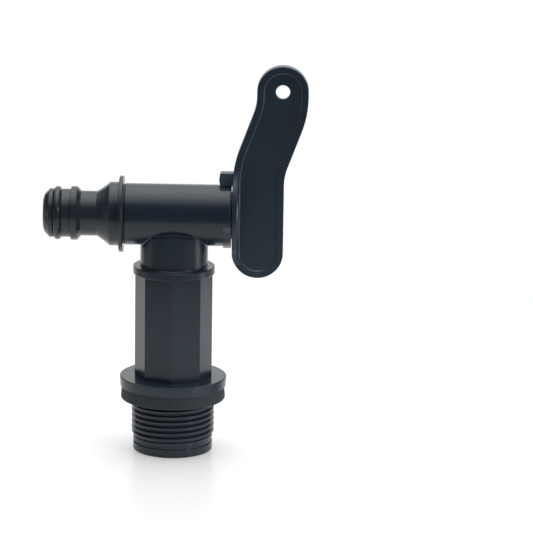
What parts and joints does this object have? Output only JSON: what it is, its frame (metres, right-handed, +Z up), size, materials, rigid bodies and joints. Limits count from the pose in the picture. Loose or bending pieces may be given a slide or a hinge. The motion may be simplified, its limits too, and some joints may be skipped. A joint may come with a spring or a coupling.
{
  "type": "water butt tap",
  "caption": "Lever-worked plug tap with a threaded octagonal inlet stem, rubber washer and a push-on hose connector nozzle.",
  "frame": {"origin": "centre of the inlet thread's end face, on the axis of the inlet bore", "axes": "+Z up the inlet stem, +X along the barrel towards the lever, -Y towards the side that shows the lever's face"},
  "size_m": [0.0832, 0.0342, 0.1249],
  "materials": {
    "body_plastic": "moulded satin black",
    "lever_plastic": "moulded satin black",
    "plug_plastic": "smooth moulded",
    "washer_rubber": "matte moulded",
    "seal_rubber": "smooth, lightly greased"
  },
  "bodies": {
    "housing": {"tap_body": "body_plastic", "inlet_washer": "washer_rubber", "port_seal": "seal_rubber", "outlet_nozzle": "body_plastic", "nozzle_seal": "seal_rubber", "coupler_o_ring": "seal_rubber"},
    "lever_and_plug": {"lever": "lever_plastic", "valve_plug": "plug_plastic", "plug_o_ring_left": "seal_rubber", "plug_o_ring_right": "seal_rubber"}
  },
  "joints": [
    {"name": "lever_turn", "type": "hinge", "parent": "housing", "child": "lever_and_plug", "pos_m": [0, 0, 0.07675], "axis": [1, 0, 0], "range_deg": [0, 90]}
  ]
}
